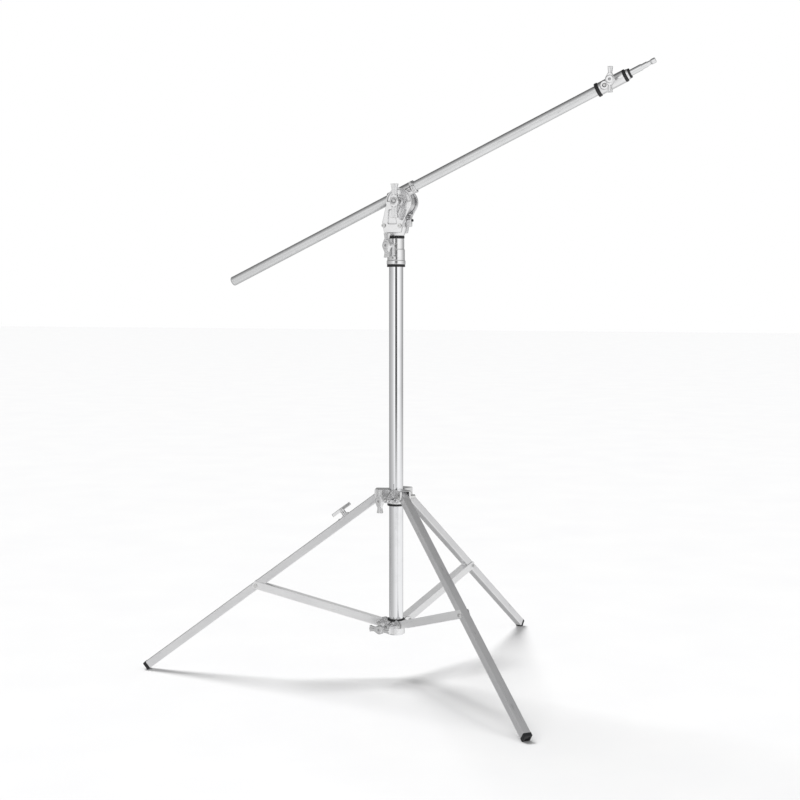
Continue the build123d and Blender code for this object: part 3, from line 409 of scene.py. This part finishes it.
def settle(piece, nodes, material):
    """A finished piece stands for its CAD nodes, rides on their body and is painted with the
    given material.
    """
    paint(piece, material)
    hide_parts(*nodes)
    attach(piece, body_of(frame["nodes"][nodes[0]])[0])
    return piece


def baked(piece):
    """Apply a piece's modifiers and shade it smooth."""
    bpy.context.view_layer.update()
    depsgraph = bpy.context.evaluated_depsgraph_get()
    mesh = bpy.data.meshes.new_from_object(piece.evaluated_get(depsgraph))
    piece.modifiers.clear()
    old = piece.data
    piece.data = mesh
    bpy.data.meshes.remove(old)
    mesh.shade_smooth()
    return piece


SMOOTH_STEP = 0.5
SMOOTH_PASSES = 9
FACES_KEPT = 0.45


def casting(node, material, voxel):
    """A CAD casting with every edge and inner corner rounded, as a foundry leaves them."""
    mesh = bpy.data.meshes.new(node + "_cast")
    shape = bmesh.new()
    shape.from_mesh(frame["nodes"][node].data)
    bmesh.ops.remove_doubles(shape, verts=shape.verts, dist=WELD)
    shape.to_mesh(mesh)
    shape.free()
    piece = link(node + "_cast", mesh)
    remesh = piece.modifiers.new("skin", "REMESH")
    remesh.mode = "VOXEL"
    remesh.voxel_size = voxel * MM
    smooth = piece.modifiers.new("round", "SMOOTH")
    smooth.factor = SMOOTH_STEP
    smooth.iterations = SMOOTH_PASSES
    thin = piece.modifiers.new("thin", "DECIMATE")
    thin.ratio = FACES_KEPT
    return settle(baked(piece), [node], material)


make_camera()
make_world()
make_light()
make_floor()
bpy.context.scene.view_settings.view_transform = "Standard"

# ------------------------------------------------------------------ directions of the long parts
def hinge_point(name):
    """A joint's place."""
    return Vector(joints[name]["pos_m"])


def middle(node):
    """The middle of a node's box."""
    low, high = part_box(node)
    return (low + high) / 2


leg_along = {letter: hinge_point(f"brace_{letter}_hinge") - hinge_point(f"leg_{letter}_hinge")
             for letter in "abc"}
brace_along = {letter: middle(f"brace_{letter}") - hinge_point(f"brace_{letter}_hinge")
               for letter in "abc"}

# ------------------------------------------------------------------ finishes
# tones of the brushed metals: light, then dark
SATIN = ((0.87, 0.87, 0.875, 1), (0.77, 0.77, 0.78, 1))
PRESSED = ((0.97, 0.97, 0.97, 1), (0.89, 0.89, 0.90, 1))
ALUMINIUM = ((0.89, 0.895, 0.90, 1), (0.77, 0.775, 0.78, 1))
BLACKENED = ((0.06, 0.06, 0.062, 1), (0.02, 0.02, 0.021, 1))
ZINC = ((0.78, 0.78, 0.77, 1), (0.60, 0.60, 0.60, 1))
finishes = {
    "chrome_tube": chrome("chrome_upright", UP),
    "chrome_boom": chrome("chrome_extension", boom_along),
    # the casting's second tone is the grey of its painted corner shade
    "bright_casting": cast_metal("bright_casting", (0.90, 0.90, 0.905, 1), (0.36, 0.36, 0.37, 1)),
    "boom_aluminium": brushed("boom_aluminium", boom_along, *ALUMINIUM, rough=(0.30, 0.42)),
    "zinc_fastener": brushed("zinc_fastener", UP, *ZINC, rough=(0.18, 0.32), pits=0.4),
    "spigot_steel": chrome("spigot_steel", boom_along, (0.84, 0.845, 0.85, 1)),
    "black_fastener": brushed("black_fastener", UP, *BLACKENED, rough=(0.30, 0.45), pits=0.4),
    "black_plastic": black_moulding("black_plastic", (0.012, 0.012, 0.013, 1),
                                    (0.06, 0.06, 0.06, 1)),
    "foot_rubber": black_moulding("foot_rubber", (0.014, 0.014, 0.016, 1),
                                  (0.09, 0.09, 0.09, 1), rough=(0.5, 0.72), grit=420),
    "fibre_washer": pressed_fibre(),
}
for letter in "abc":
    finishes[f"leg_{letter}"] = brushed(f"satin_leg_{letter}", leg_along[letter], *SATIN,
                                        metallic=0.85)
    finishes[f"brace_{letter}"] = brushed(f"satin_brace_{letter}", brace_along[letter], *PRESSED,
                                          metallic=0.6)


RUNS_ALONG = {"extension_tube": "chrome_boom", "levelling_tube": "leg_a"}


def finish_of(node):
    """The finish of a CAD node: the one made for its own direction, or its slot's."""
    own = RUNS_ALONG.get(node, node.removesuffix("_tube"))
    return finishes.get(own) or finishes[slots[node]]


for node, obj in frame["nodes"].items():
    paint(obj, finish_of(node))

# ------------------------------------------------------------------ castings
# voxel size of each casting, in millimetres
CASTINGS = {"head_base": 0.8, "head_front_cheek": 0.7, "saddle": 0.8, "saddle_cap": 0.7,
            "top_collar": 0.7, "leg_collar": 0.8, "brace_collar": 0.8, "tip_collar": 0.7,
            "levelling_boss": 0.5, "tilt_handle": 0.55, "top_collar_handle": 0.55,
            "leg_collar_handle": 0.55, "brace_collar_handle": 0.55, "tip_handle": 0.55,
            "head_lock_knob": 0.45, "levelling_knob": 0.45}
for node, voxel in CASTINGS.items():
    casting(node, finishes["bright_casting"], voxel)

# ------------------------------------------------------------------ bent channels
OUTER_BEND = 4.0 * MM
INNER_BEND = 2.5 * MM
SHEET = 1.5 * MM
LONG_EDGE = 150 * MM
BEND_SEGMENTS = 5
ROUND_PROFILE = 0.5
FLAT_WITHIN = radians(0.5)
LEVEL_WITHIN = 0.2 * MM


def bent_channel(letter):
    """A brace with the bends of folded sheet along its two upper corners."""
    node = f"brace_{letter}"
    along = brace_along[letter].normalized()
    hinge = joints[f"{node}_hinge"]
    side = Vector(hinge["axis"]).normalized()
    outward = side.cross(along)
    if outward.z < 0:
        outward = -outward
    pivot = Vector(hinge["pos_m"])
    shape = bmesh.new()
    shape.from_mesh(frame["nodes"][node].data)
    bmesh.ops.remove_doubles(shape, verts=shape.verts, dist=WELD)
    bmesh.ops.dissolve_limit(shape, angle_limit=FLAT_WITHIN, verts=shape.verts,
                             edges=shape.edges)
    top = max((vertex.co - pivot).dot(outward) for vertex in shape.verts)
    for depth, bend in ((0.0, OUTER_BEND), (SHEET, INNER_BEND)):
        corners = []
        for edge in shape.edges:
            low, high = (vertex.co - pivot for vertex in edge.verts)
            level = (low.dot(outward) + high.dot(outward)) / 2
            straight = abs((high - low).dot(along)) > LONG_EDGE
            if straight and abs(level - (top - depth)) < LEVEL_WITHIN:
                corners.append(edge)
        bmesh.ops.bevel(shape, geom=corners, offset=bend, segments=BEND_SEGMENTS,
                        profile=ROUND_PROFILE, affect="EDGES")
    bmesh.ops.triangulate(shape, faces=shape.faces)
    mesh = bpy.data.meshes.new(node + "_channel")
    shape.to_mesh(mesh)
    shape.free()
    settle(link(node + "_channel", mesh), [node], finish_of(node))


for letter in "abc":
    bent_channel(letter)

# ------------------------------------------------------------------ threads
THREAD_PITCH = 1.25 * MM             # each stud's thread is made on its CAD cylinder's size
THREAD_DEPTH = 0.55 * MM
THREAD_SIDES = 28
STEPS_PER_TURN = 6
CHAMFER_LENGTH = 1.0 * MM


def ring_of(shape, centre, across, third, radii):
    """One ring of points about an axis, one radius for each point."""
    points = []
    for number, radius in enumerate(radii):
        angle = tau * number / len(radii)
        place = centre + (across * cos(angle) + third * sin(angle)) * radius
        points.append(shape.verts.new(place))
    return points


def threaded(node, joint):
    """A stud with a rolled thread from end to end, on the axis of its handle's joint."""
    point, axis = Vector(joints[joint]["pos_m"]), Vector(joints[joint]["axis"]).normalized()
    corners = [vertex.co - point for vertex in frame["nodes"][node].data.vertices]
    start = min(corner.dot(axis) for corner in corners)
    end = max(corner.dot(axis) for corner in corners)
    crest = max((corner - axis * corner.dot(axis)).length for corner in corners)
    across = axis.orthogonal().normalized()
    third = axis.cross(across)
    steps = round((end - start) / THREAD_PITCH * STEPS_PER_TURN)
    shape = bmesh.new()
    rings = []
    for step in range(steps + 1):
        along = start + (end - start) * step / steps
        near_end = min(along - start, end - along)
        taper = max(0.0, 1.0 - near_end / CHAMFER_LENGTH) * THREAD_DEPTH
        radii = []
        for number in range(THREAD_SIDES):
            turn = (along - start) / THREAD_PITCH + number / THREAD_SIDES
            groove = 1.0 - abs(2.0 * (turn % 1.0) - 1.0)
            radii.append(crest - max(groove * THREAD_DEPTH, taper))
        rings.append(ring_of(shape, point + axis * along, across, third, radii))
    for lower, upper in zip(rings, rings[1:]):
        for number in range(THREAD_SIDES):
            following = (number + 1) % THREAD_SIDES
            shape.faces.new((lower[number], lower[following], upper[following], upper[number]))
    shape.faces.new(reversed(rings[0]))
    shape.faces.new(rings[-1])
    mesh = bpy.data.meshes.new(node + "_thread")
    shape.to_mesh(mesh)
    shape.free()
    settle(link(node + "_thread", mesh), [node], finish_of(node))


THREADED = {"brace_collar_stud": "brace_handle_turn", "leg_collar_stud": "leg_handle_turn",
            "top_collar_stud": "top_handle_turn", "tip_stud": "tip_handle_turn",
            "head_lock_stud": "head_knob_turn", "levelling_stud": "levelling_knob_turn"}
for node, joint in THREADED.items():
    threaded(node, joint)
